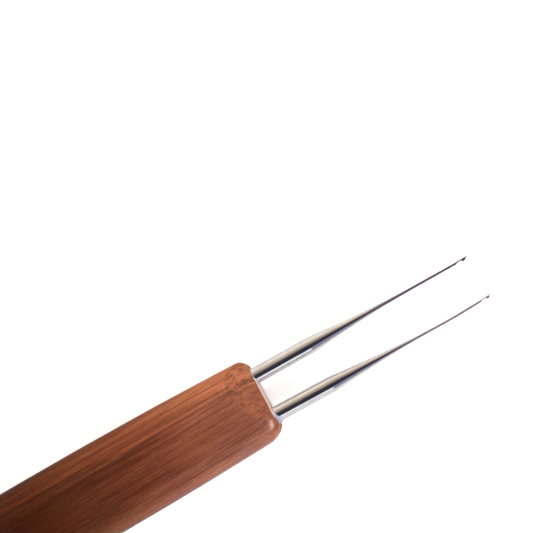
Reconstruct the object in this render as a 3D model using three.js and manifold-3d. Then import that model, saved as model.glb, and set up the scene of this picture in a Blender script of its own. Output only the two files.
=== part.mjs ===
// Two-pronged crochet hook: a flat bamboo handle with two steel needle hooks glued side by side into
// its end.
//
// Frame, in millimetres: +X runs along the tool towards the hook tips, +Y across the handle, +Z up
// through its thickness. The handle lies on its back face at z = 0, and the origin is the middle of the
// tool's footprint.
import * as THREE from 'three';
import { mergeVertices } from 'three/addons/utils/BufferGeometryUtils.js';
import Module from 'manifold-3d';

const wasm = await Module();
wasm.setup();

// ---- Driving dimensions -----------------------------------------------------------------------

const degrees = THREE.MathUtils.degToRad;

// Handle: a bar of constant thickness whose sides bow gently outwards from each end to a straight middle.
const HANDLE_LENGTH = 100;
const HANDLE_WIDTH = 14.24;
const HANDLE_THICKNESS = 7.4;
const END_WIDTH = 12.8;
const BOW_LENGTH = 34; // the stretch at each end over which the width grows to its full size
const ROLL_RADIUS = 10; // the faces roll off gently on either side of a flat middle
const ROLL_ANGLE = degrees(25);
const EDGE_RADIUS = 1.9; // the long edges

// Ends: the edge round each end face is rubbed down, and one corner more than the other. A length runs
// back from the end face, a depth in from the side. A fullness of 2 is a quarter ellipse, 1 a chamfer.
const TIGHT_CORNER = { length: 1.45, depth: 1.55, fullness: 2 };
const WIDE_CORNER = { length: 2.8, depth: 1.65, fullness: 1.55 };
const FACE_EASING_DEPTH = 0.7; // how far the same rubbing draws in the upper and the back face
const END_FACE_RADIUS = 0.6; // corners of the end face itself

// Sanded bevel: a curved facet that takes each face down towards each end face and bares the end grain.
const BEVEL_LENGTH = 3.65; // along the handle's middle
const BEVEL_START_SLOPE = degrees(19.5);
const BEVEL_END_SLOPE = degrees(24.5);
const BEVEL_YAW = degrees(1.5); // sanded by hand, so it isn't square to the handle
const BEVEL_LEAN = degrees(9); // nor level across it

// Hooks: a plain shank, a long hollow taper, a thin shaft and the hooked head.
const SHANK_RADIUS = 1.25;
const SHANK_REACH = 9.8; // plain shank outside the handle
const TAPER_LENGTH = 17;
const TAPER_START_SLOPE = 0.085;
const TAPER_EARLY = 0.4; // where the curve's two handles lie along the taper
const TAPER_LATE = 0.62;
const TAPER_LATE_EXTRA = 0.07; // how much thicker than the shaft the later handle is
const SHAFT_START_RADIUS = 0.23;
const SHAFT_END_RADIUS = 0.2;
const HEAD_RADIUS = 0.25;
const LIP_TO_TIP = 1.1;
const THROAT_LENGTH = 1.15;
const FULLEST_TO_TIP = 0.88; // from where the head is thickest
const HEAD_EASE = 0.44; // length of the curve handles that round the head and its nose
const NOSE_BLUNTNESS = 0.1;
const NOSE_LEAN = 0.17; // how far the tip lies off the axis, on the side away from the throat
const NECK_THICKNESS = 0.2;
const LIP_UNDERCUT = 0.13; // how far the throat is hollowed out under the lip
const SHANK_DEPTH = 22; // glued length inside the handle
const SHANK_CHAMFER = 0.3;
const BEND_START = 28.5; // where a bent shaft starts to curve, from the end face
const BEND_LENGTH = 4;

// Sockets: drilled 2.9 mm holes with the drill's 118 degree point, filled with epoxy round the shank.
const BORE_RADIUS = 1.45;
const BORE_DEPTH = 23;
const DRILL_POINT = BORE_RADIUS / Math.tan(degrees(59));
const GLUE_GAP = 0.03; // clearance left between the glue and what it touches
const BEAD_RADIUS = 1.52; // of the glue round each shank on the end face
const BEAD_HEIGHT = 0.35;

// How finely the curves are divided.
const EDGE_STEPS = 6;
const ROLL_STEPS = 5;
const EASING_STEPS = 8;
const BOW_STEPS = 9;
const BEVEL_STEPS = 10;
const BORE_SIDES = 32;
const NEEDLE_SIDES = 28;
const TAPER_STEPS = 14;
const SHAFT_STEPS = 8;
const HEAD_STEPS = 8;
const THROAT_STEPS = 6;

// The two needles, named as seen along the tool towards the tips. Both were drilled for and glued by
// hand, so each has its own reach and stands a little askew: a negative yaw points it to the right. The
// right one's thin shaft has been bent back a little towards the left in use.
const HOOKS = [
  { side: 'left', y: 3.46, yaw: degrees(-0.7), reach: 37.3, bend: 0 },
  { side: 'right', y: -3.22, yaw: degrees(-1.35), reach: 37.8, bend: degrees(2.8) },
];

// ---- Worked out from those --------------------------------------------------------------------

const LONGEST_REACH = Math.max(...HOOKS.map((hook) => hook.reach * Math.cos(hook.yaw)));
const FRONT = (HANDLE_LENGTH - LONGEST_REACH) / 2; // x of the end face that the hooks stand in
const BACK = FRONT - HANDLE_LENGTH; // x of the tail's end face
const MIDDLE_HEIGHT = HANDLE_THICKNESS / 2;

// ---- Materials --------------------------------------------------------------------------------

const BAMBOO = new THREE.MeshStandardMaterial({ color: 0x8a4a2c, roughness: 0.45, metalness: 0 });
const STEEL = new THREE.MeshStandardMaterial({ color: 0xc9c7c4, roughness: 0.16, metalness: 1 });
const EPOXY = new THREE.MeshStandardMaterial({ color: 0xd8c6a0, roughness: 0.12, metalness: 0 });

// ---- Solids -----------------------------------------------------------------------------------

// A closed three.js geometry as a manifold-3d solid, its shared vertices merged and its collapsed
// triangles dropped.
function toSolid(geometry) {
  const weld = 1e-4;
  const bare = new THREE.BufferGeometry();
  bare.setAttribute('position', geometry.getAttribute('position'));
  if (geometry.index) bare.setIndex(geometry.index);
  const merged = mergeVertices(bare, weld);
  const corners = merged.index.array;
  const kept = [];
  for (let i = 0; i < corners.length; i += 3) {
    const [a, b, c] = [corners[i], corners[i + 1], corners[i + 2]];
    if (a !== b && b !== c && c !== a) kept.push(a, b, c);
  }
  return new wasm.Manifold(new wasm.Mesh({
    numProp: 3,
    vertProperties: new Float32Array(merged.attributes.position.array),
    triVerts: new Uint32Array(kept),
  }));
}

// A manifold-3d solid as a three.js geometry with flat faces.
function toGeometry(solid) {
  const mesh = solid.getMesh();
  const positions = [];
  for (let i = 0; i < mesh.numVert; i++) {
    positions.push(...mesh.vertProperties.subarray(i * mesh.numProp, i * mesh.numProp + 3));
  }
  const indexed = new THREE.BufferGeometry();
  indexed.setAttribute('position', new THREE.Float32BufferAttribute(positions, 3));
  indexed.setIndex([...mesh.triVerts]);
  const geometry = indexed.toNonIndexed();
  geometry.computeVertexNormals();
  return geometry;
}

// A solid of revolution about the X axis from a profile of [x, radius] points, moved into place if need be.
function turned(profile, segments, place = (geometry) => geometry) {
  const points = profile.map(([x, radius]) => new THREE.Vector2(radius, x));
  return toSolid(place(new THREE.LatheGeometry(points, segments).rotateZ(-Math.PI / 2)));
}

function part(name, solid, material) {
  const mesh = new THREE.Mesh(toGeometry(solid), material);
  mesh.name = name;
  return mesh;
}

// Places a mesh made about the X axis on a needle's own axis, which starts in the handle's end face.
function placeOnNeedle(mesh, { y, yaw }) {
  mesh.position.set(FRONT, y, MIDDLE_HEIGHT);
  mesh.rotation.z = yaw;
  return mesh;
}

// ---- Handle -----------------------------------------------------------------------------------

// Half the handle's width at a distance from the nearer end face, before the corners are eased.
function halfWidth(distance) {
  const remaining = 1 - Math.min(distance / BOW_LENGTH, 1);
  return HANDLE_WIDTH / 2 - ((HANDLE_WIDTH - END_WIDTH) / 2) * remaining ** 2;
}

// How much of a corner's depth is rubbed off at a distance from the end face: from 1 there down to 0.
function eased(distance, { length, fullness }) {
  const remaining = 1 - Math.min(distance / length, 1);
  return 1 - (1 - remaining ** fullness) ** (1 / fullness);
}

// One quarter of the handle's section, from the side's flat up and over to the face's flat.
function quarterSection({ width, height, edgeRadius }) {
  const edgeY = width - edgeRadius;
  const edgeZ = height - ROLL_RADIUS + (ROLL_RADIUS - edgeRadius) * Math.cos(ROLL_ANGLE);
  const rollY = edgeY - (ROLL_RADIUS - edgeRadius) * Math.sin(ROLL_ANGLE);
  const edge = new THREE.Path().absarc(edgeY, edgeZ, edgeRadius, 0, Math.PI / 2 - ROLL_ANGLE, false);
  const roll = new THREE.Path()
    .absarc(rollY, height - ROLL_RADIUS, ROLL_RADIUS, Math.PI / 2 - ROLL_ANGLE, Math.PI / 2, false);
  const points = [...edge.getSpacedPoints(EDGE_STEPS), ...roll.getSpacedPoints(ROLL_STEPS).slice(1)];
  return points.map((point) => [point.x, point.y]);
}

// The whole section as a ring of [y, z] points about the handle's middle height.
function section(leftSide, rightSide) {
  const left = quarterSection(leftSide);
  const right = quarterSection(rightSide);
  return [
    ...left,
    ...[...right].reverse().map(([y, z]) => [-y, z]),
    ...right.map(([y, z]) => [-y, -z]),
    ...[...left].reverse().map(([y, z]) => [y, -z]),
  ];
}

// Distances from the nearer end face at which the bar gets a ring: close together near the end face.
function ringDistances() {
  const distances = [];
  for (let i = 0; i <= EASING_STEPS; i++) {
    distances.push(WIDE_CORNER.length * (1 - Math.cos((Math.PI / 2) * (i / EASING_STEPS))));
  }
  for (let i = 1; i <= BOW_STEPS; i++) {
    distances.push(THREE.MathUtils.lerp(WIDE_CORNER.length, BOW_LENGTH, i / BOW_STEPS));
  }
  return distances;
}

// One ring of the bar. The wide corner is the right one at the front and the left one at the tail.
function ring(x, distance, isFront) {
  const side = (corner) => {
    const share = eased(distance, corner);
    return {
      width: halfWidth(distance) - corner.depth * share,
      height: MIDDLE_HEIGHT - FACE_EASING_DEPTH * share,
      edgeRadius: THREE.MathUtils.lerp(EDGE_RADIUS, END_FACE_RADIUS, share),
    };
  };
  const [left, right] = isFront ? [TIGHT_CORNER, WIDE_CORNER] : [WIDE_CORNER, TIGHT_CORNER];
  return section(side(left), side(right)).map(([y, z]) => [x, y, z + MIDDLE_HEIGHT]);
}

// The bar itself: rings joined from the tail to the front, and closed by the two flat end faces.
function handleBar() {
  const distances = ringDistances();
  const rings = [
    ...distances.map((distance) => ring(BACK + distance, distance, false)),
    ...[...distances].reverse().map((distance) => ring(FRONT - distance, distance, true)),
  ];
  const size = rings[0].length;
  const positions = rings.flat(2);
  const faces = [];
  for (let row = 0; row + 1 < rings.length; row++) {
    for (let i = 0; i < size; i++) {
      const next = (i + 1) % size;
      const [here, above] = [row * size, (row + 1) * size];
      faces.push(here + i, here + next, above + next);
      faces.push(here + i, above + next, above + i);
    }
  }
  const last = (rings.length - 1) * size;
  const tailCentre = positions.length / 3;
  const frontCentre = tailCentre + 1;
  positions.push(BACK, 0, MIDDLE_HEIGHT, FRONT, 0, MIDDLE_HEIGHT);
  for (let i = 0; i < size; i++) {
    const next = (i + 1) % size;
    faces.push(tailCentre, next, i, frontCentre, last + i, last + next);
  }
  const geometry = new THREE.BufferGeometry();
  geometry.setAttribute('position', new THREE.Float32BufferAttribute(positions, 3));
  geometry.setIndex(faces);
  return toSolid(geometry);
}

// What the sanding takes off the upper face at the front: all that is over an arc that steepens towards
// the end.
function bevelWaste() {
  const radius = BEVEL_LENGTH / (Math.sin(BEVEL_END_SLOPE) - Math.sin(BEVEL_START_SLOPE));
  const overrun = degrees(10);
  const centreX = -BEVEL_LENGTH - radius * Math.sin(BEVEL_START_SLOPE);
  const centreZ = -radius * Math.cos(BEVEL_START_SLOPE);
  const from = Math.PI / 2 - BEVEL_START_SLOPE + overrun / 2;
  const to = Math.PI / 2 - BEVEL_END_SLOPE - overrun;
  const above = 4;
  const outline = new THREE.Shape();
  outline.moveTo(centreX + radius * Math.cos(from), centreZ + radius * Math.sin(from));
  outline.absarc(centreX, centreZ, radius, from, to, true);
  outline.lineTo(centreX + radius * Math.cos(to), above);
  outline.lineTo(centreX + radius * Math.cos(from), above);
  const across = 2 * HANDLE_WIDTH;
  const options = { depth: across, bevelEnabled: false, curveSegments: BEVEL_STEPS };
  return new THREE.ExtrudeGeometry(outline, options)
    .translate(0, 0, -across / 2)
    .rotateX(Math.PI / 2) // the outline's height becomes z, and it runs across in y
    .rotateX(-BEVEL_LEAN)
    .rotateZ(BEVEL_YAW)
    .translate(FRONT, 0, MIDDLE_HEIGHT + HANDLE_THICKNESS / 2);
}

// The four sanded bevels: both faces at both ends, each turned half a turn from the first.
function bevelWastes() {
  const centreX = (FRONT + BACK) / 2;
  const turns = [[0, 0], [Math.PI, 0], [0, Math.PI], [Math.PI, Math.PI]];
  return turns.map(([aboutX, aboutZ]) => toSolid(bevelWaste()
    .translate(-centreX, 0, -MIDDLE_HEIGHT)
    .rotateX(aboutX)
    .rotateZ(aboutZ)
    .translate(centreX, 0, MIDDLE_HEIGHT)));
}

function bore({ y, yaw }) {
  const overrun = 1;
  const profile = [
    [-BORE_DEPTH - DRILL_POINT, 0],
    [-BORE_DEPTH, BORE_RADIUS],
    [overrun, BORE_RADIUS],
    [overrun, 0],
  ];
  return turned(profile, BORE_SIDES, (tool) => tool.rotateZ(yaw).translate(FRONT, y, MIDDLE_HEIGHT));
}

function handle() {
  const waste = [...bevelWastes(), ...HOOKS.map(bore)];
  return part('handle', waste.reduce((solid, cut) => solid.subtract(cut), handleBar()), BAMBOO);
}

// ---- Hooks ------------------------------------------------------------------------------------

// A curve's points after its first, as [x, radius] pairs.
function along(curve, steps) {
  return curve.getPoints(steps).slice(1).map((point) => [point.x, Math.max(point.y, 0)]);
}

function bezier(...points) {
  return new THREE.CubicBezierCurve(...points.map(([x, y]) => new THREE.Vector2(x, y)));
}

// A needle's outline as [x, radius] points from the end face of the handle, before the throat is cut.
function needleProfile(reach) {
  const shaftStart = SHANK_REACH + TAPER_LENGTH;
  const throatStart = reach - LIP_TO_TIP - THROAT_LENGTH;
  const fullest = reach - FULLEST_TO_TIP;
  const early = TAPER_EARLY * TAPER_LENGTH;
  const taper = bezier(
    [SHANK_REACH, SHANK_RADIUS],
    [SHANK_REACH + early, SHANK_RADIUS - early * TAPER_START_SLOPE],
    [SHANK_REACH + TAPER_LATE * TAPER_LENGTH, SHAFT_START_RADIUS + TAPER_LATE_EXTRA],
    [shaftStart, SHAFT_START_RADIUS],
  );
  const shaft = new THREE.LineCurve(
    new THREE.Vector2(shaftStart, SHAFT_START_RADIUS),
    new THREE.Vector2(throatStart, SHAFT_END_RADIUS),
  );
  const swell = bezier(
    [throatStart, SHAFT_END_RADIUS],
    [throatStart + HEAD_EASE, SHAFT_END_RADIUS],
    [fullest - HEAD_EASE, HEAD_RADIUS],
    [fullest, HEAD_RADIUS],
  );
  const nose = bezier(
    [fullest, HEAD_RADIUS],
    [fullest + HEAD_EASE, HEAD_RADIUS],
    [reach, NOSE_BLUNTNESS],
    [reach, 0],
  );
  return [
    [-SHANK_DEPTH, 0],
    [-SHANK_DEPTH, SHANK_RADIUS - SHANK_CHAMFER],
    [-SHANK_DEPTH + SHANK_CHAMFER, SHANK_RADIUS],
    [SHANK_REACH, SHANK_RADIUS],
    ...along(taper, TAPER_STEPS),
    ...along(shaft, SHAFT_STEPS),
    ...along(swell, HEAD_STEPS),
    ...along(nose, HEAD_STEPS),
  ];
}

// What the throat's cutter takes out: a ramp down to the neck, then a hollow under the backward-facing lip.
function throatWaste(reach) {
  const outside = -2 * HEAD_RADIUS;
  const floor = SHAFT_END_RADIUS - NECK_THICKNESS; // y of the neck's inner side
  const lip = reach - LIP_TO_TIP;
  const outline = new THREE.Shape();
  outline.moveTo(lip - 1.1 * THROAT_LENGTH, outside);
  outline.lineTo(lip - THROAT_LENGTH, -SHAFT_END_RADIUS);
  outline.quadraticCurveTo(lip - 0.7 * THROAT_LENGTH, floor, lip - 0.4 * THROAT_LENGTH, floor);
  outline.lineTo(lip, floor);
  outline.quadraticCurveTo(lip + 1.5 * LIP_UNDERCUT, floor, lip + LIP_UNDERCUT, floor - HEAD_RADIUS / 2);
  outline.lineTo(lip, -HEAD_RADIUS);
  outline.lineTo(lip - LIP_UNDERCUT, outside);
  const across = 4 * HEAD_RADIUS;
  const options = { depth: across, bevelEnabled: false, curveSegments: THROAT_STEPS };
  return toSolid(new THREE.ExtrudeGeometry(outline, options).translate(0, 0, -across / 2));
}

// How far a bent needle's axis has left its straight line, at a distance from the end face.
function bendOffset(x, bend) {
  const past = Math.max(x - BEND_START, 0);
  const curved = Math.min(past, BEND_LENGTH);
  return Math.tan(bend) * (curved ** 2 / (2 * BEND_LENGTH) + past - curved);
}

// How far the nose leans away from the throat's side: not at all where the head is fullest, most at the tip.
function noseOffset(x, reach) {
  const share = Math.max(1 - (reach - x) / FULLEST_TO_TIP, 0);
  return NOSE_LEAN * share ** 2;
}

function hook(needle) {
  const straight = turned(needleProfile(needle.reach), NEEDLE_SIDES).subtract(throatWaste(needle.reach));
  const bent = straight.warp((point) => {
    point[1] += bendOffset(point[0], needle.bend) + noseOffset(point[0], needle.reach);
  });
  return placeOnNeedle(part(`hook_${needle.side}`, bent, STEEL), needle);
}

// ---- Glue -------------------------------------------------------------------------------------

// The cured epoxy that fills a socket round and behind its shank, and stands as a bead on the end face.
function glue(needle) {
  const inner = SHANK_RADIUS + GLUE_GAP;
  const outer = BORE_RADIUS - GLUE_GAP;
  const floor = -SHANK_DEPTH - GLUE_GAP;
  const bead = BEAD_RADIUS - inner;
  const foot = 2 * GLUE_GAP; // the bead clears the end face, which a needle's yaw tips it towards
  const profile = [
    [-BORE_DEPTH - DRILL_POINT + 2 * GLUE_GAP, 0],
    [-BORE_DEPTH + GLUE_GAP, outer],
    [foot, outer],
    [foot, BEAD_RADIUS],
    [foot + BEAD_HEIGHT / 4, inner + bead / 2],
    [foot + BEAD_HEIGHT / 2, inner + bead / 5],
    [BEAD_HEIGHT, inner],
    [floor + SHANK_CHAMFER, inner],
    [floor, inner - SHANK_CHAMFER],
    [floor, 0],
  ];
  return placeOnNeedle(part(`glue_${needle.side}`, turned(profile, NEEDLE_SIDES), EPOXY), needle);
}

// ---- The tool ---------------------------------------------------------------------------------

const crochetHook = new THREE.Group();
crochetHook.add(handle());
for (const needle of HOOKS) crochetHook.add(hook(needle), glue(needle));

export default crochetHook;
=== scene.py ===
"""A two-pronged crochet hook: a dark bamboo handle with two polished steel needle hooks glued into its end.

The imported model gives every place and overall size. This script makes the fine surfaces and the materials:
the hand-sanded bamboo bar, the turned and ground needles, and the beads of epoxy round their shanks.
Lengths are in metres, with MM for one millimetre. +X runs towards the hook tips and +Z is up.
"""

import math

import bmesh
import bpy
import numpy as np
from mathutils import Matrix, Vector, noise


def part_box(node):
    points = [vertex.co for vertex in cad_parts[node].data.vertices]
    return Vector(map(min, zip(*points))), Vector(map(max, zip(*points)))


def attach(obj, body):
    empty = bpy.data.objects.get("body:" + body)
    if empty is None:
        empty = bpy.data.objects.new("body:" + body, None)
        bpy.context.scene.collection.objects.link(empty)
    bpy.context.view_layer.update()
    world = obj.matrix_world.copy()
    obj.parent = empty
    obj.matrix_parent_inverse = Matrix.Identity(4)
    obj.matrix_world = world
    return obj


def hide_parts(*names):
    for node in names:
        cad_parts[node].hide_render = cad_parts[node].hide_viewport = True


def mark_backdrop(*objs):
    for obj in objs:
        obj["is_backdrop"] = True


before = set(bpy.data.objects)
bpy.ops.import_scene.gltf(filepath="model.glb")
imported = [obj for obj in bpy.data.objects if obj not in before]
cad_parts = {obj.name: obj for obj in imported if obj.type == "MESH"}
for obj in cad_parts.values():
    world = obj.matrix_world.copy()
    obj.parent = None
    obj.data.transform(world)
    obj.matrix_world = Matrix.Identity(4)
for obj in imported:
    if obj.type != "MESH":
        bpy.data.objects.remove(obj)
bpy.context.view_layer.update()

MM = 0.001

# ---- Sizes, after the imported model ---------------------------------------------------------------

HANDLE_LOW, HANDLE_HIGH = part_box("handle")
FRONT = HANDLE_HIGH.x  # the end face that the needles stand in
BACK = HANDLE_LOW.x
HALF_WIDTH = HANDLE_HIGH.y
HALF_THICKNESS = (HANDLE_HIGH.z - HANDLE_LOW.z) / 2
MIDDLE_HEIGHT = HANDLE_LOW.z + HALF_THICKNESS

# The bar's section and its bow.
END_HALF_WIDTH = 6.4 * MM
BOW_LENGTH = 34 * MM
ROLL_RADIUS = 10 * MM
ROLL_ANGLE = math.radians(25)
EDGE_RADIUS = 1.9 * MM

# The rubbed-down edge round each end face: (length back from the face, depth in from the side, fullness).
# A fullness of 2 is a quarter ellipse, and 1 would be a straight chamfer.
TIGHT_CORNER = (1.45 * MM, 1.55 * MM, 2.0)
WIDE_CORNER = (2.8 * MM, 1.65 * MM, 1.55)
FACE_EASING_DEPTH = 0.7 * MM
END_FACE_RADIUS = 0.6 * MM
ARRIS = 0.16 * MM  # the last softening of the end face's own edge
BEVEL_RINGS_TO = 6.4 * MM  # past every bevel, where the bar's rings may stand farther apart
ARRIS_RINGS, EASING_RINGS, BEVEL_RINGS, BOW_RINGS, STRAIGHT_RINGS = 6, 19, 25, 30, 34
CAP_SHARES = (0.92, 0.75, 0.5, 0.25, 0.0)  # how large each ring is that closes an end face
HAND_SWELL = 0.035 * MM  # the unevenness left by sanding by hand
HAND_SWELL_SCALES = (110, 260, 260)  # how close together it is, per metre
HAND_SWELL_SEED = 1  # vector noise is otherwise seeded from the clock

# The sanded bevels that bare the end grain.
BEVEL_LENGTH = 3.65 * MM
BEVEL_START_SLOPE = math.radians(19.5)
BEVEL_END_SLOPE = math.radians(24.5)
BEVEL_YAW = math.radians(1.5)
BEVEL_LEAN = math.radians(9)
BEVEL_BLEND = 0.22 * MM  # how softly a face runs over into its bevel

# The needles.
SHANK_RADIUS = 1.25 * MM
SHANK_REACH = 9.8 * MM
TAPER_LENGTH = 17 * MM
TAPER_START_SLOPE = 0.085
SHAFT_START_RADIUS = 0.23 * MM
SHAFT_END_RADIUS = 0.2 * MM
HEAD_RADIUS = 0.25 * MM
LIP_TO_TIP = 1.1 * MM
THROAT_LENGTH = 1.15 * MM
NECK_THICKNESS = 0.2 * MM
LIP_UNDERCUT = 0.13 * MM
FULLEST_TO_TIP = 0.88 * MM
NOSE_LEAN = 0.17 * MM  # how far the tip lies off the axis, on the side away from the throat
TAPER_HANDLES = (0.4, 0.62)  # the shares of the taper at which its curve's handles stand
TAPER_END_FULLNESS = 0.07 * MM  # how much thicker than the shaft the second handle is
SHANK_CHAMFER = 0.3 * MM
CHAMFER_EASING = 0.05 * MM
BEND_START = 28.5 * MM  # where a bent shaft starts to curve, from the end face
BEND_LENGTH = 4 * MM
BENDS = {"left": 0.0, "right": math.radians(2.8)}
NEEDLE_SIDES, SOCKET_SIDES, GLUE_SIDES = 72, 64, 96
SHANK_RINGS, TAPER_RINGS, SHAFT_RINGS, THROAT_RINGS, NOSE_RINGS = 12, 48, 25, 40, 24

# The sockets and the glue in them.
BORE_RADIUS = 1.45 * MM
BORE_DEPTH = 23 * MM
DRILL_POINT = BORE_RADIUS / math.tan(math.radians(59))
GLUE_GAP = 0.02 * MM
BEAD_RADIUS = 1.5 * MM
BEAD_HEIGHT = 0.02 * MM
BEAD_SPREAD = 0.06 * MM  # how much wider the bead is where it has run out
BEAD_UNEVENNESS = 0.4
BEAD_ROUNDNESS = 0.8  # the power that the fillet's circle is drawn with: below 1, it is fuller
SAG_FOCUS = 2.5  # how narrowly a run-out bead keeps to its direction
# Where each bead has run out along its needle: the angle from +Y over +Z, and how far.
SAGS = {"left": (math.radians(165), 0.22 * MM), "right": (math.radians(150), 0.75 * MM)}

# Edges sharper than these angles, in degrees, stay sharp in the shading.
HANDLE_SMOOTH, NEEDLE_SMOOTH, GLUE_SMOOTH = 40, 32, 60


# ---- Mesh helpers --------------------------------------------------------------------------------


def lerp(a, b, share):
    return a + (b - a) * share


def mesh_object(name, points, faces, smooth_angle):
    """A mesh object with smooth shading that breaks only at edges sharper than the angle, in degrees."""
    mesh = bpy.data.meshes.new(name)
    mesh.from_pydata([tuple(p) for p in points], [], faces)
    mesh.validate()
    tidy = bmesh.new()
    tidy.from_mesh(mesh)
    bmesh.ops.remove_doubles(tidy, verts=tidy.verts, dist=1e-7)
    bmesh.ops.dissolve_degenerate(tidy, edges=tidy.edges, dist=1e-8)
    bmesh.ops.recalc_face_normals(tidy, faces=tidy.faces)
    tidy.to_mesh(mesh)
    tidy.free()
    piece = bpy.data.objects.new(name, mesh)
    bpy.context.scene.collection.objects.link(piece)
    shade(piece, smooth_angle)
    return piece


def shade(piece, smooth_angle):
    mesh = piece.data
    mesh.polygons.foreach_set("use_smooth", [True] * len(mesh.polygons))
    mesh.set_sharp_from_angle(angle=math.radians(smooth_angle))


def ring_faces(rows, columns):
    """Faces that join rows of points, each row a closed ring of that many columns."""
    faces = []
    for row in range(rows - 1):
        for i in range(columns):
            j = (i + 1) % columns
            here, there = row * columns, (row + 1) * columns
            faces.append((here + i, here + j, there + j, there + i))
    return faces


def turned(name, profile, sides, smooth_angle):
    """A closed solid of revolution about X, from (x, radius) points that start and end on the axis."""
    angles = np.linspace(0, 2 * math.pi, sides, endpoint=False)
    points = [(x, r * math.cos(a), r * math.sin(a)) for x, r in profile for a in angles]
    return mesh_object(name, points, ring_faces(len(profile), sides), smooth_angle)


def bezier(start, handle_a, handle_b, end, steps):
    """Points along a cubic curve, after its first."""
    points = []
    for step in range(1, steps + 1):
        t = step / steps
        weights = ((1 - t) ** 3, 3 * t * (1 - t) ** 2, 3 * t * t * (1 - t), t**3)
        corners = (start, handle_a, handle_b, end)
        points.append(tuple(sum(w * c[k] for w, c in zip(weights, corners)) for k in range(2)))
    return points


def apply_modifiers(piece):
    """Replaces a piece's mesh by what its modifiers make of it."""
    evaluated = piece.evaluated_get(bpy.context.evaluated_depsgraph_get())
    final = bpy.data.meshes.new_from_object(evaluated)
    piece.modifiers.clear()
    piece.data = final
    return piece


# ---- Handle --------------------------------------------------------------------------------------


def half_width(distance):
    remaining = 1 - min(distance / BOW_LENGTH, 1)
    return HALF_WIDTH - (HALF_WIDTH - END_HALF_WIDTH) * remaining**2


def eased(distance, length, fullness=2.0):
    """The share of an easing's depth that is taken off at a distance from the end face."""
    remaining = 1 - min(distance / length, 1)
    return 1 - (1 - remaining**fullness) ** (1 / fullness)


def arc(centre, radius, start, end, steps):
    angles = np.linspace(start, end, steps + 1)
    return [(centre[0] + radius * math.cos(a), centre[1] + radius * math.sin(a)) for a in angles]


def quarter_section(width, height, edge_radius):
    """The section's outline from the middle of a side, up and over to the middle of a face."""
    radius_step = ROLL_RADIUS - edge_radius
    edge = (width - edge_radius, height - ROLL_RADIUS + radius_step * math.cos(ROLL_ANGLE))
    roll = (edge[0] - radius_step * math.sin(ROLL_ANGLE), height - ROLL_RADIUS)
    side_steps, edge_steps, roll_steps, face_steps = 6, 14, 22, 10
    points = [(width, z) for z in np.linspace(0, edge[1], side_steps + 1)[:-1]]
    points += arc(edge, edge_radius, 0, math.pi / 2 - ROLL_ANGLE, edge_steps)
    points += arc(roll, ROLL_RADIUS, math.pi / 2 - ROLL_ANGLE, math.pi / 2, roll_steps)[1:]
    points += [(y, height) for y in np.linspace(roll[0], 0, face_steps + 1)[1:]]
    return points


def section(left, right):
    """The closed ring of (y, z) about the middle height. Its two sides may differ."""
    ring = list(left)
    ring += [(-y, z) for y, z in reversed(right)][1:]
    ring += [(-y, -z) for y, z in right][1:]
    ring += [(y, -z) for y, z in reversed(left)][1:-1]
    return ring


def end_distances():
    """Distances from an end face where the bar gets a ring: closest at the edge, then through the bevel."""
    arris = [ARRIS * (1 - math.cos(a)) for a in np.linspace(0, math.pi / 2, ARRIS_RINGS)]
    easing = list(np.linspace(ARRIS, WIDE_CORNER[0], EASING_RINGS)[1:])
    bevel = list(np.linspace(WIDE_CORNER[0], BEVEL_RINGS_TO, BEVEL_RINGS)[1:])
    bow = list(np.linspace(BEVEL_RINGS_TO, BOW_LENGTH, BOW_RINGS)[1:])
    return arris + easing + bevel + bow


def bevel_height(x, y, is_front):
    """How high above the middle the sanded bevel of the upper face lies, as a function of place."""
    if not is_front:
        x, y = FRONT + BACK - x, -y
    x -= FRONT
    along = x * math.cos(BEVEL_YAW) + y * math.sin(BEVEL_YAW)
    across = y * math.cos(BEVEL_YAW) - x * math.sin(BEVEL_YAW)
    radius = BEVEL_LENGTH / (math.sin(BEVEL_END_SLOPE) - math.sin(BEVEL_START_SLOPE))
    centre = -BEVEL_LENGTH - radius * math.sin(BEVEL_START_SLOPE)
    rise = math.sqrt(radius**2 - max(along - centre, 0) ** 2)
    flat = rise - radius * math.cos(BEVEL_START_SLOPE)
    return HALF_THICKNESS + flat / math.cos(BEVEL_LEAN) - across * math.tan(BEVEL_LEAN)


def soft_min(a, b, blend):
    """The smaller of two heights, rounded where they cross."""
    nearness = max(blend - abs(a - b), 0) / blend
    return min(a, b) - nearness**2 * blend / 4


def bevelled(x, y, z, is_front):
    """A height of the bar, taken down to the bevels. Those of the back are the upper ones turned over."""
    z = soft_min(z, bevel_height(x, y, is_front), BEVEL_BLEND)
    return -soft_min(-z, bevel_height(x, -y, is_front), BEVEL_BLEND)


def handle_ring(x, distance, is_front):
    def side(corner):
        share = eased(distance, corner[0], corner[2])
        return quarter_section(
            half_width(distance) - corner[1] * share,
            HALF_THICKNESS - FACE_EASING_DEPTH * share,
            lerp(EDGE_RADIUS, END_FACE_RADIUS, share),
        )

    left, right = (TIGHT_CORNER, WIDE_CORNER) if is_front else (WIDE_CORNER, TIGHT_CORNER)
    drawn_in = ARRIS * eased(distance, ARRIS)
    points = []
    for y, z in section(side(left), side(right)):
        z = bevelled(x, y, z, is_front)
        keep = 1 - drawn_in / math.hypot(y, z)
        points.append((x, y * keep, z * keep))
    return points


def end_cap(ring):
    """Rings that close an end face, shrinking to its centre. The ring they start from is already there."""
    return [[(x, y * keep, z * keep) for x, y, z in ring] for keep in CAP_SHARES]


def hand_sanded(points):
    """Shifts points by a few hundredths of a millimetre, in the long soft unevenness of sanding by hand."""
    noise.seed_set(HAND_SWELL_SEED)
    stretch = Vector(HAND_SWELL_SCALES)
    shifted = []
    for x, y, z in points:
        shift = noise.noise_vector(Vector((x, y, z)) * stretch)
        shifted.append((x, y + HAND_SWELL * shift.y, z + HAND_SWELL * shift.z))
    return shifted


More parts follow.
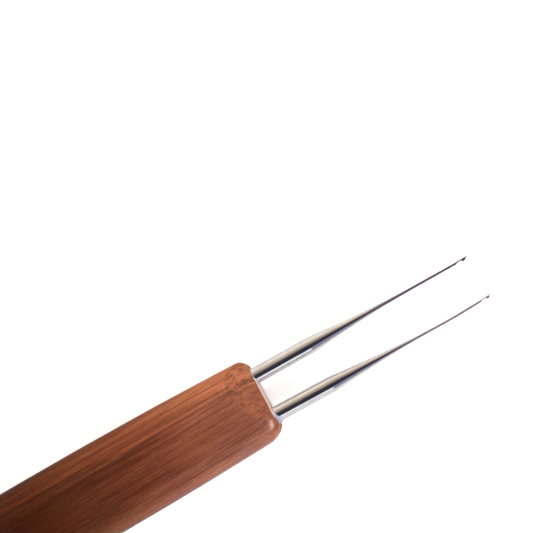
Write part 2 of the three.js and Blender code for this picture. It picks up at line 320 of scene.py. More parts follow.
def socket(needle):
    """The drilled hole for a needle, as a solid to cut with."""
    overrun = 1 * MM
    profile = [(-BORE_DEPTH - DRILL_POINT, 0), (-BORE_DEPTH, BORE_RADIUS)]
    profile += [(overrun, BORE_RADIUS), (overrun, 0)]
    cutter = turned("socket", profile, SOCKET_SIDES, HANDLE_SMOOTH)
    cutter.data.transform(needle["place"])
    return cutter


def drill(piece, needles):
    cutters = [socket(needle) for needle in needles]
    for cutter in cutters:
        cut = piece.modifiers.new("socket", "BOOLEAN")
        cut.operation = "DIFFERENCE"
        cut.solver = "EXACT"
        cut.object = cutter
    apply_modifiers(piece)
    for cutter in cutters:
        bpy.data.objects.remove(cutter)


def make_handle(needles):
    distances = end_distances()
    straight = np.linspace(BACK + BOW_LENGTH, FRONT - BOW_LENGTH, STRAIGHT_RINGS)[1:-1]
    rings = [handle_ring(BACK + d, d, False) for d in distances]
    rings += [handle_ring(x, BOW_LENGTH, True) for x in straight]
    rings += [handle_ring(FRONT - d, d, True) for d in reversed(distances)]
    rings = list(reversed(end_cap(rings[0]))) + rings + end_cap(rings[-1])
    points = [(x, y, z + MIDDLE_HEIGHT) for ring in rings for x, y, z in ring]
    faces = ring_faces(len(rings), len(rings[0]))
    piece = mesh_object("bamboo_handle", hand_sanded(points), faces, HANDLE_SMOOTH)
    drill(piece, needles)
    shade(piece, HANDLE_SMOOTH)
    return piece


# ---- Needles -------------------------------------------------------------------------------------


def middle(points):
    return sum(points, Vector()) / len(points)


def read_needle(side):
    """A needle's axis, reach and depth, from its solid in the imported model."""
    points = [v.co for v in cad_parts[f"hook_{side}"].data.vertices]
    start, tip = min(p.x for p in points), max(p.x for p in points)
    taper = FRONT + SHANK_REACH
    root = middle([p for p in points if p.x < start + 0.1 * MM])
    shoulder = middle([p for p in points if abs(p.x - taper) < 0.1 * MM])
    yaw = math.atan2(shoulder.y - root.y, shoulder.x - root.x)
    mouth = Vector((FRONT, root.y + (FRONT - root.x) * math.tan(yaw), MIDDLE_HEIGHT))
    return {
        "side": side,
        "place": Matrix.Translation(mouth) @ Matrix.Rotation(yaw, 4, "Z"),
        "reach": (tip - FRONT) / math.cos(yaw),
        "depth": (FRONT - root.x) / math.cos(yaw),
        "bend": BENDS[side],
    }


def bend_offset(x, bend):
    """How far a bent needle's axis has left its straight line, at a distance from the end face."""
    past = max(x - BEND_START, 0)
    curved = min(past, BEND_LENGTH)
    return math.tan(bend) * (curved**2 / (2 * BEND_LENGTH) + past - curved)


def nose_offset(x, reach):
    """How far the nose leans away from the throat: nothing where the head is fullest, most at the tip."""
    share = max(1 - (reach - x) / FULLEST_TO_TIP, 0)
    return NOSE_LEAN * share**2


def needle_profile(reach, depth):
    """(x, radius) along a needle from its blunt end to its tip, before the throat is ground."""
    throat_start = reach - LIP_TO_TIP - THROAT_LENGTH
    fullest = reach - FULLEST_TO_TIP
    shaft_start = SHANK_REACH + TAPER_LENGTH
    first, second = TAPER_HANDLES
    points = [(-depth, 0), (-depth, SHANK_RADIUS - SHANK_CHAMFER)]
    points += [(-depth + SHANK_CHAMFER, SHANK_RADIUS - CHAMFER_EASING)]
    points += [(-depth + SHANK_CHAMFER + CHAMFER_EASING, SHANK_RADIUS)]
    points += [(x, SHANK_RADIUS) for x in np.linspace(0, SHANK_REACH - 0.3 * MM, SHANK_RINGS)]
    points += [(SHANK_REACH - 0.1 * MM, SHANK_RADIUS), (SHANK_REACH, SHANK_RADIUS)]
    points += bezier(
        (SHANK_REACH, SHANK_RADIUS),
        (SHANK_REACH + first * TAPER_LENGTH, SHANK_RADIUS - first * TAPER_LENGTH * TAPER_START_SLOPE),
        (SHANK_REACH + second * TAPER_LENGTH, SHAFT_START_RADIUS + TAPER_END_FULLNESS),
        (shaft_start, SHAFT_START_RADIUS),
        TAPER_RINGS,
    )
    for share in np.linspace(0, 1, SHAFT_RINGS)[1:]:
        radius = lerp(SHAFT_START_RADIUS, SHAFT_END_RADIUS, share)
        points.append((lerp(shaft_start, throat_start, share), radius))
    points += bezier(
        (throat_start, SHAFT_END_RADIUS),
        (throat_start + 0.4 * THROAT_LENGTH, SHAFT_END_RADIUS),
        (fullest - 0.4 * THROAT_LENGTH, HEAD_RADIUS),
        (fullest, HEAD_RADIUS),
        THROAT_RINGS,
    )
    points += bezier(
        (fullest, HEAD_RADIUS),
        (reach - 0.4 * LIP_TO_TIP, HEAD_RADIUS),
        (reach, 0.4 * HEAD_RADIUS),
        (reach, 0),
        NOSE_RINGS,
    )
    return points


def throat_floor(x, reach):
    """The y below which the throat is ground away, at a distance along the needle."""
    lip = reach - LIP_TO_TIP
    start = lip - THROAT_LENGTH
    neck = SHAFT_END_RADIUS - NECK_THICKNESS
    if x <= start or x >= lip:
        return -SHANK_RADIUS  # outside the throat nothing is ground away
    ramp = min((x - start) / (0.6 * THROAT_LENGTH), 1)
    return lerp(-SHAFT_END_RADIUS, neck, 1 - (1 - ramp) ** 2)


def lip_pull(x, y, reach):
    """How far back the lip overhangs the throat: most at its outer edge, nothing at the neck or nose."""
    lip = reach - LIP_TO_TIP
    if x < lip:
        return 0
    neck = SHAFT_END_RADIUS - NECK_THICKNESS
    outward = max((neck - y) / (neck + HEAD_RADIUS), 0)
    fading = max(1 - (x - lip) / (0.4 * LIP_TO_TIP), 0)
    return LIP_UNDERCUT * outward * fading


def make_needle(needle):
    reach = needle["reach"]
    lip = reach - LIP_TO_TIP
    profile = needle_profile(reach, needle["depth"])
    # One ring at the neck's end and one at the lip's face, so the lip stands up square from the throat.
    before = max((p for p in profile if p[0] < lip), key=lambda p: p[0])
    at = profile.index(before) + 1
    profile[at:at] = [(lip - 0.001 * MM, before[1]), (lip, before[1])]
    points = []
    for x, radius in profile:
        floor = throat_floor(x, reach)
        for angle in np.linspace(0, 2 * math.pi, NEEDLE_SIDES, endpoint=False):
            y, z = radius * math.cos(angle), radius * math.sin(angle)
            off_axis = bend_offset(x, needle["bend"]) + nose_offset(x, reach)
            points.append((x - lip_pull(x, y, reach), max(y, floor) + off_axis, z))
    name = f"steel_hook_{needle['side']}"
    piece = mesh_object(name, points, ring_faces(len(profile), NEEDLE_SIDES), NEEDLE_SMOOTH)
    piece.data.transform(needle["place"])
    return piece


# ---- Glue ----------------------------------------------------------------------------------------


def glue_profile(depth):
    """The epoxy from the drill point to the shank's end: (x, radius, how far out and up the bead)."""
    inner, outer = SHANK_RADIUS + GLUE_GAP, BORE_RADIUS - GLUE_GAP
    quarter = np.linspace(0, math.pi / 2, 13)
    profile = [(-BORE_DEPTH - DRILL_POINT + 2 * GLUE_GAP, 0, 0, 0), (-BORE_DEPTH + GLUE_GAP, outer, 0, 0)]
    profile += [(0, outer, 0, 0)]
    for a in quarter:
        profile.append((GLUE_GAP, inner, math.cos(a) ** BEAD_ROUNDNESS, math.sin(a) ** BEAD_ROUNDNESS))
    profile += [(-depth - GLUE_GAP + SHANK_CHAMFER, inner, 0, 0)]
    profile += [(-depth - GLUE_GAP, inner - SHANK_CHAMFER, 0, 0), (-depth - GLUE_GAP, 0, 0, 0)]
    return profile


def make_glue(needle):
    """The epoxy in a socket, with a thin bead at its mouth that has run out on one side of the needle."""
    sag_angle, sag_height = SAGS[needle["side"]]
    inner = SHANK_RADIUS + GLUE_GAP
    across = needle["place"].translation.y / MM  # so that the two beads differ
    profile = glue_profile(needle["depth"])
    points = []
    for x, radius, out, up in profile:
        for angle in np.linspace(0, 2 * math.pi, GLUE_SIDES, endpoint=False):
            sag = max(math.cos(angle - sag_angle), 0) ** SAG_FOCUS
            place = Vector((2 * math.cos(angle), 2 * math.sin(angle), across))
            uneven = 1 + BEAD_UNEVENNESS * noise.noise(place)
            height = (BEAD_HEIGHT + sag_height * sag) * uneven
            breadth = (BEAD_RADIUS - inner + BEAD_SPREAD * sag) * uneven
            reach = radius + out * breadth
            points.append((x + up * height, reach * math.cos(angle), reach * math.sin(angle)))
    faces = ring_faces(len(profile), GLUE_SIDES)
    piece = mesh_object(f"epoxy_{needle['side']}", points, faces, GLUE_SMOOTH)
    piece.data.transform(needle["place"])
    return piece


# ---- Node helpers --------------------------------------------------------------------------------


class Nodes:
    """Short calls for building a node tree."""

    def __init__(self, tree):
        self.tree = tree
        tree.nodes.clear()

    def add(self, kind, **settings):
        node = self.tree.nodes.new(kind)
        for key, value in settings.items():
            setattr(node, key, value)
        return node

    def link(self, source, target):
        self.tree.links.new(source, target)

    def feed(self, socket, value):
        """A socket takes a constant or another node's output."""
        if isinstance(value, bpy.types.NodeSocket):
            self.link(value, socket)
        else:
            socket.default_value = value

    def math(self, operation, a, b=0.0):
        node = self.add("ShaderNodeMath", operation=operation)
        self.feed(node.inputs[0], a)
        self.feed(node.inputs[1], b)
        return node.outputs[0]

    def vector(self, operation, a, b=(0, 0, 0)):
        node = self.add("ShaderNodeVectorMath", operation=operation)
        self.feed(node.inputs[0], a)
        self.feed(node.inputs[1], b)
        return node.outputs["Value"] if operation == "DOT_PRODUCT" else node.outputs["Vector"]

    def split(self, vector):
        node = self.add("ShaderNodeSeparateXYZ")
        self.link(vector, node.inputs[0])
        return node.outputs

    def join(self, x, y, z):
        node = self.add("ShaderNodeCombineXYZ")
        for socket, value in zip(node.inputs, (x, y, z)):
            self.feed(socket, value)
        return node.outputs[0]

    def noise(self, vector, detail, roughness=0.5, output="Fac"):
        """Noise with about one swell to each unit of its vector."""
        node = self.add("ShaderNodeTexNoise")
        self.link(vector, node.inputs["Vector"])
        node.inputs["Scale"].default_value = 1.0
        node.inputs["Detail"].default_value = detail
        node.inputs["Roughness"].default_value = roughness
        return node.outputs[output]

    def remap(self, value, low, high, to_low=0.0, to_high=1.0, smooth=True):
        node = self.add("ShaderNodeMapRange", interpolation_type="SMOOTHSTEP" if smooth else "LINEAR")
        self.feed(node.inputs["Value"], value)
        node.inputs["From Min"].default_value = low
        node.inputs["From Max"].default_value = high
        node.inputs["To Min"].default_value = to_low
        node.inputs["To Max"].default_value = to_high
        return node.outputs["Result"]

    def mix(self, share, a, b, blend="MIX"):
        node = self.add("ShaderNodeMix", data_type="RGBA", blend_type=blend)
        colour_a, colour_b, colour_result = node.inputs[6], node.inputs[7], node.outputs[2]
        self.feed(node.inputs["Factor"], share)
        self.feed(colour_a, a)
        self.feed(colour_b, b)
        return colour_result

    def tint(self, share, colour, factors):
        """Multiplies a colour by three factors: wholly where the share is 1, and not where it is 0."""
        return self.mix(share, colour, (*factors, 1), "MULTIPLY")

    def bump(self, height, strength, distance):
        node = self.add("ShaderNodeBump")
        node.inputs["Strength"].default_value = strength
        node.inputs["Distance"].default_value = distance
        self.link(height, node.inputs["Height"])
        return node.outputs[0]

    def ramp(self, value, stops):
        node = self.add("ShaderNodeValToRGB")
        self.feed(node.inputs[0], value)
        elements = node.color_ramp.elements
        while len(elements) > 1:
            elements.remove(elements[-1])
        elements[0].position, elements[0].color = stops[0][0], (*stops[0][1], 1)
        for position, colour in stops[1:]:
            elements.new(position).color = (*colour, 1)
        return node.outputs[0]


def new_material(name):
    material = bpy.data.materials.new(name)
    material.use_nodes = True
    nodes = Nodes(material.node_tree)
    output = nodes.add("ShaderNodeOutputMaterial")
    shader = nodes.add("ShaderNodeBsdfPrincipled")
    nodes.link(shader.outputs[0], output.inputs["Surface"])
    return material, nodes, shader


def strengthened(stops, strength):
    """The stops of a ramp, with their colours multiplied by a number."""
    return [(position, [strength * part for part in colour]) for position, colour in stops]


def millimetres(nodes):
    """The place on the object in millimetres, in the shared frame."""
    place = nodes.add("ShaderNodeTexCoord").outputs["Object"]
    return nodes.vector("MULTIPLY", place, (1 / MM, 1 / MM, 1 / MM))


# ---- Bamboo --------------------------------------------------------------------------------------

# Along the handle, from the tail (0) to the hook end (1). The middle is darkest and the hook end lightest:
# painted shade, the light falling off away from the hook end, laid over the bamboo's own tones.
BAMBOO_TONES_AND_PAINTED_FALLOFF = [
    (0.0, (0.18, 0.056, 0.0285)),
    (0.15, (0.145, 0.042, 0.019)),
    (0.35, (0.11, 0.03, 0.012)),
    (0.48, (0.066, 0.016, 0.005)),
    (0.57, (0.045, 0.0095, 0.002)),
    (0.62, (0.058, 0.0125, 0.0032)),
    (0.69, (0.09, 0.025, 0.009)),
    (0.76, (0.122, 0.033, 0.014)),
    (0.82, (0.152, 0.042, 0.0205)),
    (0.88, (0.205, 0.066, 0.033)),
    (0.94, (0.212, 0.073, 0.041)),
    (1.0, (0.25, 0.088, 0.051)),
]
BAMBOO_LIGHTNESS = 1.08

# Across the handle, from its right edge (0) to its left edge (1), with the hooks pointing away.
# The left side is lighter and more orange and the right edge paler and bluer: painted light from the left
# and a painted sheen along the right edge.
PAINTED_SIDE_LIGHT = [
    (0.0, (1.34, 1.66, 2.0)),
    (0.10, (1.10, 1.32, 1.56)),
    (0.18, (0.74, 0.76, 0.80)),
    (0.32, (0.82, 0.81, 0.82)),
    (0.5, (0.80, 0.79, 0.80)),
    (0.68, (0.76, 0.75, 0.74)),
    (0.8, (1.30, 1.24, 1.06)),
    (0.92, (1.38, 1.38, 1.16)),
    (1.0, (1.43, 1.50, 1.28)),
]
SIDES_WIDTH = 14  # mm across which they are laid
SIDES_WAVER = 0.5  # how far the bands of the grain push them to and fro

# The layers of the grain. Each has its noise (scales along and across the fibres per millimetre, detail,
# roughness) and what it multiplies the colour by at its darkest and at its lightest.
GRAIN_LAYERS = {
    "broad": ((0.035, 0.28, 2, 0.55), (0.80, 0.74, 0.70), (1.20, 1.23, 1.26)),
    "bands": ((0.03, 1.1, 3, 0.55), (0.82, 0.77, 0.74), (1.18, 1.22, 1.25)),
    "streaks": ((0.06, 3.4, 4, 0.6), (0.74, 0.68, 0.66), (1.26, 1.30, 1.33)),
    "flecks": ((0.28, 6.0, 3, 0.6), (0.84, 0.79, 0.77), (1.17, 1.20, 1.19)),
    "fine": ((0.8, 12.0, 4, 0.55), (0.84, 0.81, 0.80), (1.16, 1.19, 1.19)),
}
LAYER_LOW, LAYER_HIGH = 0.3, 0.7  # the noise values at which a layer is darkest and lightest
PORE_SCALES = (2.6, 3.6, 3.6)
PORE_TINTS = ((0.88, 0.86, 0.85), (1.12, 1.14, 1.16))

# The fibres wander a little, so that they come and go at the long faces: (scales, detail, reach in mm).
DRIFT = ((0.014, 0.07, 0.07), 1.5, (0, 2.2, 3.0))
SHIVER = ((0.05, 1.1, 1.1), 2, (0, 0.55, 0.4))

# The fibre bundles, as end grain shows them: dark dots, wider than they are deep.
BUNDLE_WIDTH, BUNDLE_DEPTH = 0.8, 0.46  # mm from one to the next
DOT_CORE, DOT_EDGE = 0.08, 0.42  # shares of that distance
FAINTEST_DOT = 0.35
DOT_TINT = (0.36, 0.30, 0.34)
DOT_ON_LONG_GRAIN, DOT_ON_END_GRAIN = 0.4, 0.54  # how strongly the dots show

# End grain shows where the surface turns this far towards an end: the X of its normal.
END_GRAIN_FROM, END_GRAIN_TO = 0.14, 0.34
END_GRAIN_TINT = (1.14, 1.02, 0.82)
# Painted shade: the end grain towards the left edge is darker and greyer, where the top corner is shaded.
LEFT_BEVEL_PAINTED_SHADE = (0.70, 0.74, 0.84)
LEFT_BEVEL_FROM, LEFT_BEVEL_TO = 1.0, 4.0  # mm to the left of the middle

# Painted light: towards the hook end the lighter left side spreads to the middle. Both ranges are in mm.
PALE_BACK_FROM_FACE = (13, 5)
PALE_FROM_MIDDLE = (-0.5, 2.6)
PALE_ON_END_GRAIN = 0.1
PAINTED_LIGHT_TINT = (1.36, 1.38, 1.38)

# Painted sheen: cloudy bluish patches, as of a bluish light reflected in the lacquer.
PAINTED_SHEEN_SCALES = (0.16, 0.6, 0.6)
PAINTED_SHEEN_LOW, PAINTED_SHEEN_HIGH = 0.52, 0.72
PAINTED_SHEEN_ON_LONG_GRAIN, PAINTED_SHEEN_ON_END_GRAIN = 0.5, 0.1
PAINTED_SHEEN_TINT = (0.88, 1.02, 1.45)

# Painted reflection: the end face between the needles is paled, as by the lacquer's glancing reflection of
# the pale table.
PAINTED_REFLECTION_COLOUR = (0.66, 0.52, 0.47)
PAINTED_REFLECTION_SHARE = 0.72
PAINTED_REFLECTION_FADE = (3.0, 4.2)  # mm from the middle
END_FACE_NORMAL = (0.8, 0.95)  # the X of the normal, where a bevel ends and the end face is reached

ROUGHNESS = 0.28
STREAK_ROUGHNESS, END_GRAIN_ROUGHNESS = 0.2, 0.12  # what each adds to it
STREAK_RELIEF, FINE_RELIEF, DOT_RELIEF = 0.8, 0.3, -0.4  # shares of the relief's depth
BAMBOO_RELIEF_DEPTH, BAMBOO_RELIEF_STRENGTH = 0.03 * MM, 0.3


def wandering(nodes, place):
    """The place in the bamboo's own fibres: the place on the handle, moved sideways by drift and shiver."""
    moved = place
    for scales, detail, reach in (DRIFT, SHIVER):
        shift = nodes.noise(nodes.vector("MULTIPLY", place, scales), detail, output="Color")
        shift = nodes.vector("MULTIPLY", nodes.vector("SUBTRACT", shift, (0.5, 0.5, 0.5)), reach)
        moved = nodes.vector("ADD", moved, shift)
    return moved


def grain_noise(nodes, fibres, along, across, detail, roughness):
    """Noise drawn out along the fibres."""
    stretched = nodes.vector("MULTIPLY", fibres, (along, across, across))
    return nodes.noise(stretched, detail, roughness)


def layer_tint(nodes, colour, layer, dark, light):
    factors = nodes.ramp(layer, [(LAYER_LOW, dark), (LAYER_HIGH, light)])
    return nodes.mix(1.0, colour, factors, "MULTIPLY")


def bundle_dots(nodes, fibres):
    """1 at the middle of a fibre bundle and 0 between bundles, with some bundles fainter than others."""
    _, y, z = nodes.split(fibres)
    across = nodes.math("MULTIPLY", y, 1 / BUNDLE_WIDTH)
    down = nodes.math("MULTIPLY", z, 1 / BUNDLE_DEPTH)
    bundles = nodes.add("ShaderNodeTexVoronoi", voronoi_dimensions="2D", feature="F1")
    nodes.link(nodes.join(across, down, 0.0), bundles.inputs["Vector"])
    bundles.inputs["Scale"].default_value = 1.0
    bundles.inputs["Randomness"].default_value = 1.0
    dot = nodes.remap(bundles.outputs["Distance"], DOT_CORE, DOT_EDGE, 1.0, 0.0)
    strength = nodes.remap(nodes.split(bundles.outputs["Color"])[0], 0.0, 1.0, FAINTEST_DOT, 1.0)
    return nodes.math("MULTIPLY", dot, strength)


def bamboo_ground(nodes, place, bands, end_grain):
    """The bamboo's colour before its grain: its tones along the handle and its sides across it."""
    x, y, _ = nodes.split(place)
    front = FRONT / MM
    # The tones along the handle carry painted shade, darker away from the hook end.
    tones = strengthened(BAMBOO_TONES_AND_PAINTED_FALLOFF, BAMBOO_LIGHTNESS)
    colour = nodes.ramp(nodes.remap(x, BACK / MM, front, smooth=False), tones)
    across_bar = nodes.math("ADD", nodes.math("MULTIPLY", y, 1 / SIDES_WIDTH), 0.5)
    waver = nodes.math("MULTIPLY", nodes.math("SUBTRACT", bands, 0.5), SIDES_WAVER)
    # Painted light across the handle: lighter on the left, a pale painted sheen on the right edge.
    sides = nodes.ramp(nodes.math("ADD", across_bar, waver), PAINTED_SIDE_LIGHT)
    colour = nodes.mix(1.0, colour, sides, "MULTIPLY")
    # Painted light: the left half is made lighter towards the hook end.
    far, near = PALE_BACK_FROM_FACE
    pale = nodes.remap(x, front - far, front - near)
    pale = nodes.math("MULTIPLY", pale, nodes.remap(y, *PALE_FROM_MIDDLE))
    pale = nodes.math("MULTIPLY", pale, nodes.remap(end_grain, 0.0, 1.0, 1.0, PALE_ON_END_GRAIN))
    colour = nodes.tint(pale, colour, PAINTED_LIGHT_TINT)
    colour = nodes.tint(end_grain, colour, END_GRAIN_TINT)
    # Painted shade on the left of the end grain.
    left_bevel = nodes.math("MULTIPLY", end_grain, nodes.remap(y, LEFT_BEVEL_FROM, LEFT_BEVEL_TO))
    return nodes.tint(left_bevel, colour, LEFT_BEVEL_PAINTED_SHADE)


def painted_end_reflection(nodes, place, facing_x):
    """Where the painted reflection lies: on the end face at the hooks, between the needles."""
    x, y, _ = nodes.split(place)
    reflection_share = nodes.math("MULTIPLY", nodes.remap(facing_x, *END_FACE_NORMAL), nodes.remap(x, 0.0, 1.0))
    between = nodes.remap(nodes.math("ABSOLUTE", y), *PAINTED_REFLECTION_FADE, PAINTED_REFLECTION_SHARE, 0.0)
    return nodes.math("MULTIPLY", reflection_share, between)


def bamboo():
    """Carbonised bamboo: fibre bundles that run along the handle at every depth, under clear lacquer."""
    material, nodes, shader = new_material("carbonised_bamboo")
    place = millimetres(nodes)
    fibres = wandering(nodes, place)
    facing_x = nodes.split(nodes.add("ShaderNodeNewGeometry").outputs["Normal"])[0]
    end_grain = nodes.remap(nodes.math("ABSOLUTE", facing_x), END_GRAIN_FROM, END_GRAIN_TO)
    dot = bundle_dots(nodes, fibres)
    layers = {name: grain_noise(nodes, fibres, *scales) for name, (scales, _, _) in GRAIN_LAYERS.items()}
    pores = nodes.noise(nodes.vector("MULTIPLY", place, PORE_SCALES), 3, 0.7)
    painted_sheen = nodes.noise(nodes.vector("MULTIPLY", place, PAINTED_SHEEN_SCALES), 3, 0.6)

    colour = bamboo_ground(nodes, place, layers["bands"], end_grain)
    for name, (_, dark, light) in GRAIN_LAYERS.items():
        colour = layer_tint(nodes, colour, layers[name], dark, light)
    colour = layer_tint(nodes, colour, pores, *PORE_TINTS)
    shown = nodes.remap(end_grain, 0.0, 1.0, DOT_ON_LONG_GRAIN, DOT_ON_END_GRAIN)
    colour = nodes.tint(nodes.math("MULTIPLY", dot, shown), colour, DOT_TINT)
    # Painted sheen: cloudy bluish patches tinted into the colour.
    shown = nodes.remap(end_grain, 0.0, 1.0, PAINTED_SHEEN_ON_LONG_GRAIN, PAINTED_SHEEN_ON_END_GRAIN)
    sheen_share = nodes.math("MULTIPLY", nodes.remap(painted_sheen, PAINTED_SHEEN_LOW, PAINTED_SHEEN_HIGH), shown)
    colour = nodes.tint(sheen_share, colour, PAINTED_SHEEN_TINT)
    # Painted reflection pales the end face between the needles.
    colour = nodes.mix(painted_end_reflection(nodes, place, facing_x), colour, (*PAINTED_REFLECTION_COLOUR, 1))
    nodes.link(colour, shader.inputs["Base Color"])

    rough = nodes.math("MULTIPLY", layers["streaks"], STREAK_ROUGHNESS)
    rough = nodes.math("ADD", rough, nodes.math("MULTIPLY", end_grain, END_GRAIN_ROUGHNESS))
    nodes.link(nodes.math("ADD", rough, ROUGHNESS), shader.inputs["Roughness"])
    shader.inputs["Specular IOR Level"].default_value = 0.05
    shader.inputs["Coat Weight"].default_value = 0.16
    shader.inputs["Coat IOR"].default_value = 1.7
    shader.inputs["Coat Roughness"].default_value = 0.2

    relief = nodes.math("MULTIPLY", layers["streaks"], STREAK_RELIEF)
    relief = nodes.math("ADD", relief, nodes.math("MULTIPLY", dot, DOT_RELIEF))
    relief = nodes.math("ADD", relief, nodes.math("MULTIPLY", layers["fine"], FINE_RELIEF))
    nodes.link(nodes.bump(relief, BAMBOO_RELIEF_STRENGTH, BAMBOO_RELIEF_DEPTH), shader.inputs["Normal"])
    return material


# ---- Steel and epoxy -----------------------------------------------------------------------------

STEEL_COLOUR = (0.90, 0.885, 0.865)
# The ground shafts are duller than the drawn shanks. Their darker, purplish colours are painted reflection,
# the left one darker than the right as if it mirrored more of the dark band.
THIN_PAINTED_REFLECTIONS = {"left": (0.40, 0.31, 0.42), "right": (0.74, 0.66, 0.78)}
THIN_FROM = SHANK_REACH + 6 * MM
THIN_TO = SHANK_REACH + TAPER_LENGTH
# Painted reflection: the left needle's head is darkened where a dark reflection lies on it.
LEFT_HEAD_FROM, LEFT_HEAD_TO = 36.1 * MM, 36.4 * MM  # from the end face
LEFT_HEAD_PAINTED_REFLECTION = (0.6, 0.65, 0.69)
LINE_SCALES = (0.35, 9, 9)  # the drawn lines: long and close together, per millimetre
LINE_RELIEF_DEPTH, LINE_RELIEF_STRENGTH = 0.008 * MM, 0.18
WEAR_SCALES = (0.5, 0.9, 0.9)
WEAR_SHARE = 0.35
WEAR_TINTS = [(0.3, (0.62, 0.6, 0.58)), (0.7, (1.0, 1.0, 1.0))]
POLISH, LINE_ROUGHNESS, THIN_ROUGHNESS = 0.07, 0.09, 0.12

SPECK_SCALES = (3, 3, 3)
# The epoxy's blue is a painted glint. Its specks vary it.
EPOXY_SPECKS_AND_PAINTED_GLINT = [(0.35, (0.46, 0.49, 0.60)), (0.65, (0.62, 0.66, 0.82))]


def steel():
    """Polished steel, drawn lengthwise: faint lines along it, duller where ground thin, with painted
    reflection there.
    """
    material, nodes, shader = new_material("polished_steel")
    place = millimetres(nodes)
    x, y, _ = nodes.split(place)
    lines = nodes.noise(nodes.vector("MULTIPLY", place, LINE_SCALES), 4, 0.6)
    wear = nodes.noise(nodes.vector("MULTIPLY", place, WEAR_SCALES), 3)

    def ahead(start, end):
        """0 before a place along the needle and 1 past another, both measured from the end face."""
        return nodes.remap(x, (FRONT + start) / MM, (FRONT + end) / MM)

    is_left = nodes.remap(y, -0.5, 0.5)
    thin = ahead(THIN_FROM, THIN_TO)
    # Painted reflection on the thin shafts, darker on the left.
    thin_reflection = nodes.mix(is_left, (*THIN_PAINTED_REFLECTIONS["right"], 1), (*THIN_PAINTED_REFLECTIONS["left"], 1))
    colour = nodes.mix(thin, (*STEEL_COLOUR, 1), thin_reflection)
    # Painted reflection darkens the left head.
    left_head = nodes.math("MULTIPLY", ahead(LEFT_HEAD_FROM, LEFT_HEAD_TO), is_left)
    colour = nodes.tint(left_head, colour, LEFT_HEAD_PAINTED_REFLECTION)
    colour = nodes.mix(WEAR_SHARE, colour, nodes.ramp(wear, WEAR_TINTS), "MULTIPLY")
    nodes.link(colour, shader.inputs["Base Color"])
    shader.inputs["Metallic"].default_value = 1.0
    rough = nodes.math("ADD", nodes.math("MULTIPLY", lines, LINE_ROUGHNESS), POLISH)
    rough = nodes.math("ADD", rough, nodes.math("MULTIPLY", thin, THIN_ROUGHNESS))
    nodes.link(rough, shader.inputs["Roughness"])
    nodes.link(nodes.bump(lines, LINE_RELIEF_STRENGTH, LINE_RELIEF_DEPTH), shader.inputs["Normal"])
    return material


def epoxy():
    """Cured clear epoxy, slightly milky, with a few trapped specks, tinted blue as a painted glint."""
    material, nodes, shader = new_material("clear_epoxy")
    specks = nodes.noise(nodes.vector("MULTIPLY", millimetres(nodes), SPECK_SCALES), 4)
    nodes.link(nodes.ramp(specks, EPOXY_SPECKS_AND_PAINTED_GLINT), shader.inputs["Base Color"])
    shader.inputs["Roughness"].default_value = 0.1
    shader.inputs["IOR"].default_value = 1.52
    shader.inputs["Transmission Weight"].default_value = 0.4
    return material


# ---- Stage ---------------------------------------------------------------------------------------

FLOOR_HALF = 2.0
FLOOR_GAP = 0.02 * MM  # how far the floor lies under the tool
FLOOR_COLOUR = (0.62, 0.62, 0.64)
FLOOR_GLOW = 0.6
WALL_COLOUR = (0.97, 0.97, 0.97)

# The studio as the needles mirror it, in degrees from straight up: below 0 on the +Y side, above 0 on -Y.
STUDIO_BANDS = [
    (-180, (0.8, 0.78, 0.75)),
    (-95, (1.05, 0.97, 0.86)),
    (-68, (1.12, 1.0, 0.87)),
    (-49, (0.86, 0.73, 0.62)),
    (-29, (0.56, 0.46, 0.39)),
    (-14, (0.32, 0.27, 0.24)),
    (-3, (0.12, 0.1, 0.1)),
    (6, (0.035, 0.033, 0.045)),
    (42, (0.035, 0.036, 0.06)),
    (50, (0.16, 0.17, 0.24)),
    (57, (1.2, 1.22, 1.3)),
    (66, (1.2, 1.22, 1.32)),
    (76, (0.76, 0.8, 0.92)),
    (92, (0.82, 0.86, 1.02)),
    (112, (0.95, 0.98, 1.08)),
    (180, (0.8, 0.78, 0.75)),
]
STUDIO_STRENGTH = 0.89

# The bright card on the right reaches no farther forward than the shanks mirror. Past it the wall is dusky
# blue. The ranges along X are of a direction's own X.
CARD_FROM, CARD_TO = math.radians(42), math.radians(52)
CARD_END = (-0.085, -0.045)
DUSK_END = (0.25, 0.4)
DUSKY_WALL = (0.27, 0.27, 0.42)

# Past what the needles mirror, ahead and behind, the studio is an even soft dome, brighter on the +Y side.
DOME_BANDS = [
    (-180, (1.3, 1.25, 1.15)),
    (-80, (2.25, 2.08, 1.84)),
    (0, (1.65, 1.56, 1.44)),
    (80, (1.3, 1.34, 1.42)),
    (180, (1.2, 1.2, 1.2)),
]
DOME_FROM, DOME_TO = 0.34, 0.5  # how far ahead or behind it starts, as a direction's X

# The lamp that glints on the handle's rubbed-down corner.
LAMP_TOWARDS = (0.55, -0.58, 0.60)
LAMP_COLOUR = (0.98, 0.97, 1.0)
LAMP_STRENGTH = 42.0
LAMP_HALF_ANGLE = math.radians(9)
LAMP_RIM = 0.6  # the share of the lamp over which it fades in from its rim

CAMERA_LEAN = math.radians(7)  # towards the hook tips and to the right
CAMERA_ROLL = math.radians(30.04)  # how far the handle climbs to the right in the view
CAMERA_DISTANCE = 1.2
VIEW_WIDTH = 80.76 * MM
SENSOR_WIDTH = 36  # the camera's own millimetres
END_RIGHT, END_UP = -0.17 * MM, -19.65 * MM  # the middle of the end face, from the middle of the view


